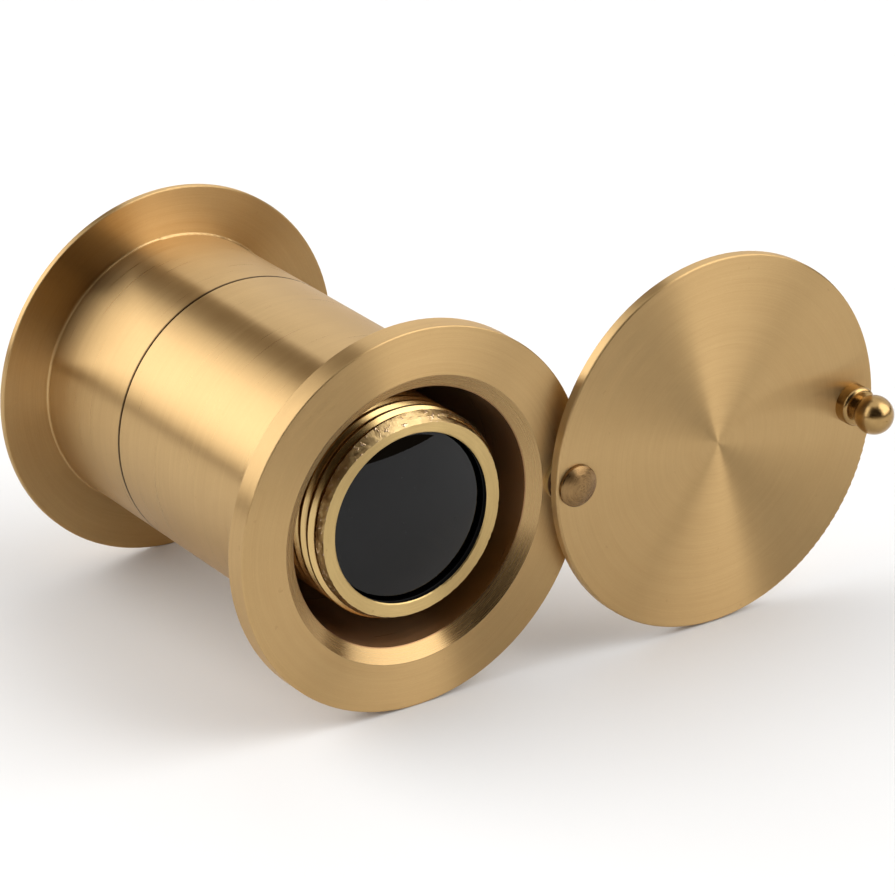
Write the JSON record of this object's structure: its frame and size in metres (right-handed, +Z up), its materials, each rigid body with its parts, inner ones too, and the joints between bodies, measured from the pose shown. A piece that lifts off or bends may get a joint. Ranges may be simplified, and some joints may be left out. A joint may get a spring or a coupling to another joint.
{
  "type": "door viewer",
  "caption": "Round brass door viewer: two flanged sleeves on a threaded lens tube, with a swivel cover disc and ball knob over the eyepiece.",
  "frame": {"origin": "on the viewer's axis, in the plane where the outer flange seats on the door's street side", "axes": "+Y along the viewer's axis towards the street side, -Y towards the room and the eye; +Z up; +X to the right as seen from the room, where the open cover lies"},
  "size_m": [0.0712, 0.0555, 0.038],
  "materials": {
    "satin_brass": "satin, turned and brushed",
    "raw_brass": "as turned",
    "polished_brass": "polished",
    "spring_steel": "blued",
    "optical_glass": "polished",
    "black_rubber": "matt",
    "black_spacer": "black anodised, matt"
  },
  "bodies": {
    "outer_half": {"outer_barrel": "satin_brass", "optical_tube": "raw_brass", "objective_lens": "optical_glass", "objective_seal": "black_rubber", "bezel_ring": "satin_brass", "front_spacer": "black_spacer", "front_negative_lens": "optical_glass", "middle_spacer": "black_spacer", "rear_negative_lens": "optical_glass", "long_spacer": "black_spacer", "eyepiece_lens": "optical_glass", "eyepiece_cushion": "black_rubber"},
    "screw_ring": {"thread_ring": "raw_brass"},
    "inner_half": {"inner_barrel": "satin_brass", "pivot_rivet": "polished_brass", "pivot_spacer": "raw_brass", "spring_washer": "spring_steel"},
    "cover": {"cover_disc": "satin_brass", "cover_knob": "polished_brass"}
  },
  "joints": [
    {"name": "inner_half_travel", "type": "slide", "parent": "outer_half", "child": "screw_ring", "axis": [0, -1, 0], "range_m": [0, 0.01525]},
    {"name": "inner_half_turn", "type": "hinge", "parent": "screw_ring", "child": "inner_half", "pos_m": [0, -0.017, 0], "axis": [0, -1, 0], "range_deg": [0, 4320]},
    {"name": "cover_swing", "type": "hinge", "parent": "inner_half", "child": "cover", "pos_m": [0.01665, -0.045, 0], "axis": [0, -1, 0], "continuous": true}
  ],
  "couplings": [
    {"joint": "inner_half_travel", "follows": "inner_half_turn", "m_per_rad": 0.00020213}
  ]
}
